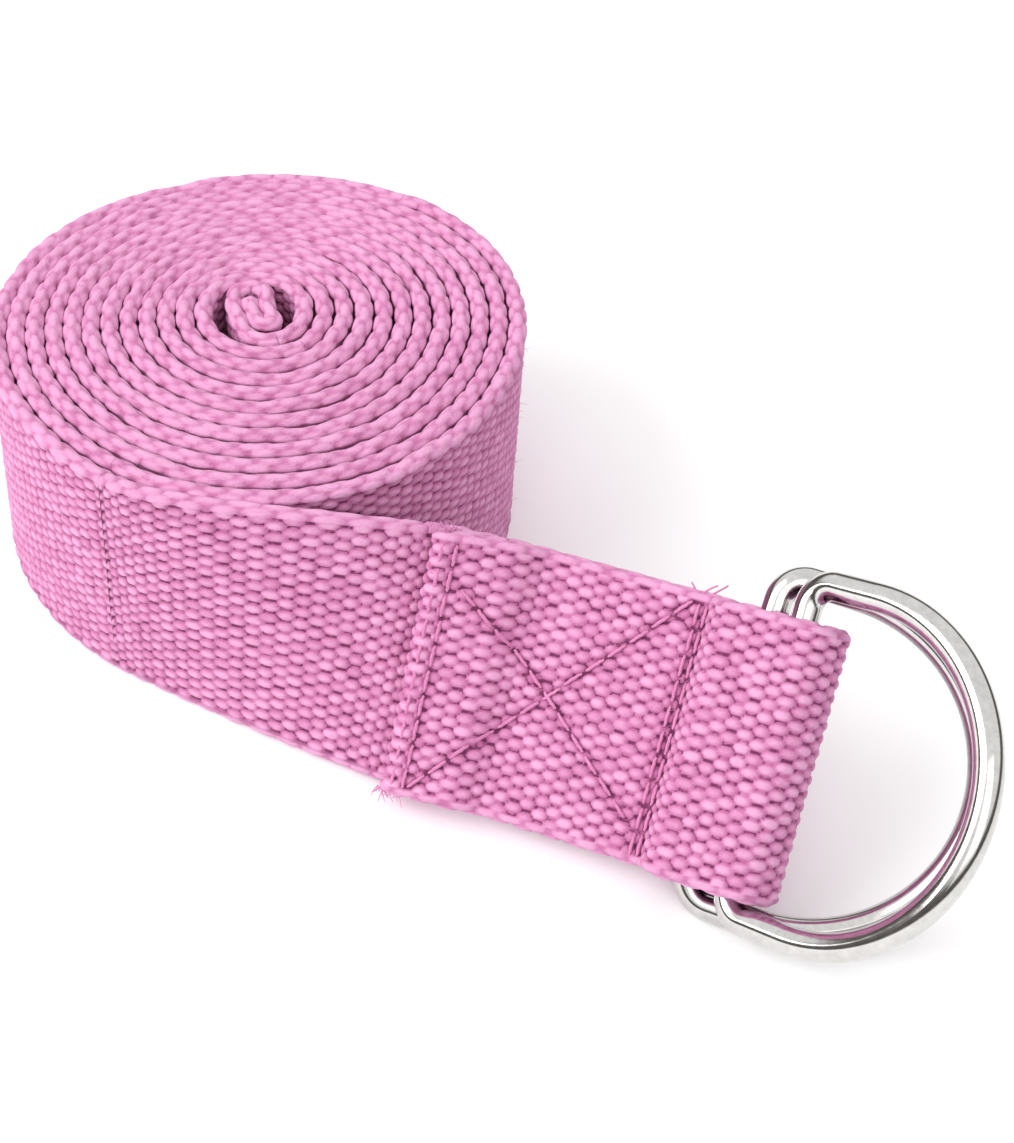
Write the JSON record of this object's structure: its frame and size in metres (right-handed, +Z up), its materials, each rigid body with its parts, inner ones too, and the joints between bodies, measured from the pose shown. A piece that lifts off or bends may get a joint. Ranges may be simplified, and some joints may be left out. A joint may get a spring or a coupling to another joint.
{
  "type": "stretching_strap",
  "caption": "Pink cotton webbing stretching strap wound into a coil standing on its edge, with a sewn lap whose loop holds two swinging chromed D-rings.",
  "frame": {"origin": "on the surface that the coil stands on, under the middle of the coil's outer turn", "axes": "+X along the lap towards the rings, +Y from the lap back past the coil, +Z up"},
  "size_m": [0.1626, 0.1001, 0.0463],
  "materials": {
    "webbing": "plain-woven cotton webbing, matt, with a coarse ribbed weave",
    "thread": "twisted sewing thread, matt",
    "ring_steel": "polished chrome plate on round steel wire"
  },
  "bodies": {
    "strap": {"webbing_coil": "webbing", "webbing_free_end": "webbing", "webbing_run": "webbing", "webbing_ring_loop": "webbing", "lap_edge_seam": "thread", "lap_cross_seam": "thread", "ring_side_seam": "thread", "free_end_seam": "thread", "loose_thread_ends": "thread"},
    "front_ring": {"front_d_ring": "ring_steel"},
    "rear_ring": {"rear_d_ring": "ring_steel"}
  },
  "joints": [
    {"name": "front_ring_hinge", "type": "hinge", "parent": "strap", "child": "front_ring", "pos_m": [0.09107, -0.03576, 0.02164], "axis": [0.0273, -0.6964, -0.7171], "range_deg": [0, 140]},
    {"name": "rear_ring_hinge", "type": "hinge", "parent": "strap", "child": "rear_ring", "pos_m": [0.08578, -0.03309, 0.01884], "axis": [0.0162, 0.6939, 0.7199], "range_deg": [0, 140]}
  ]
}
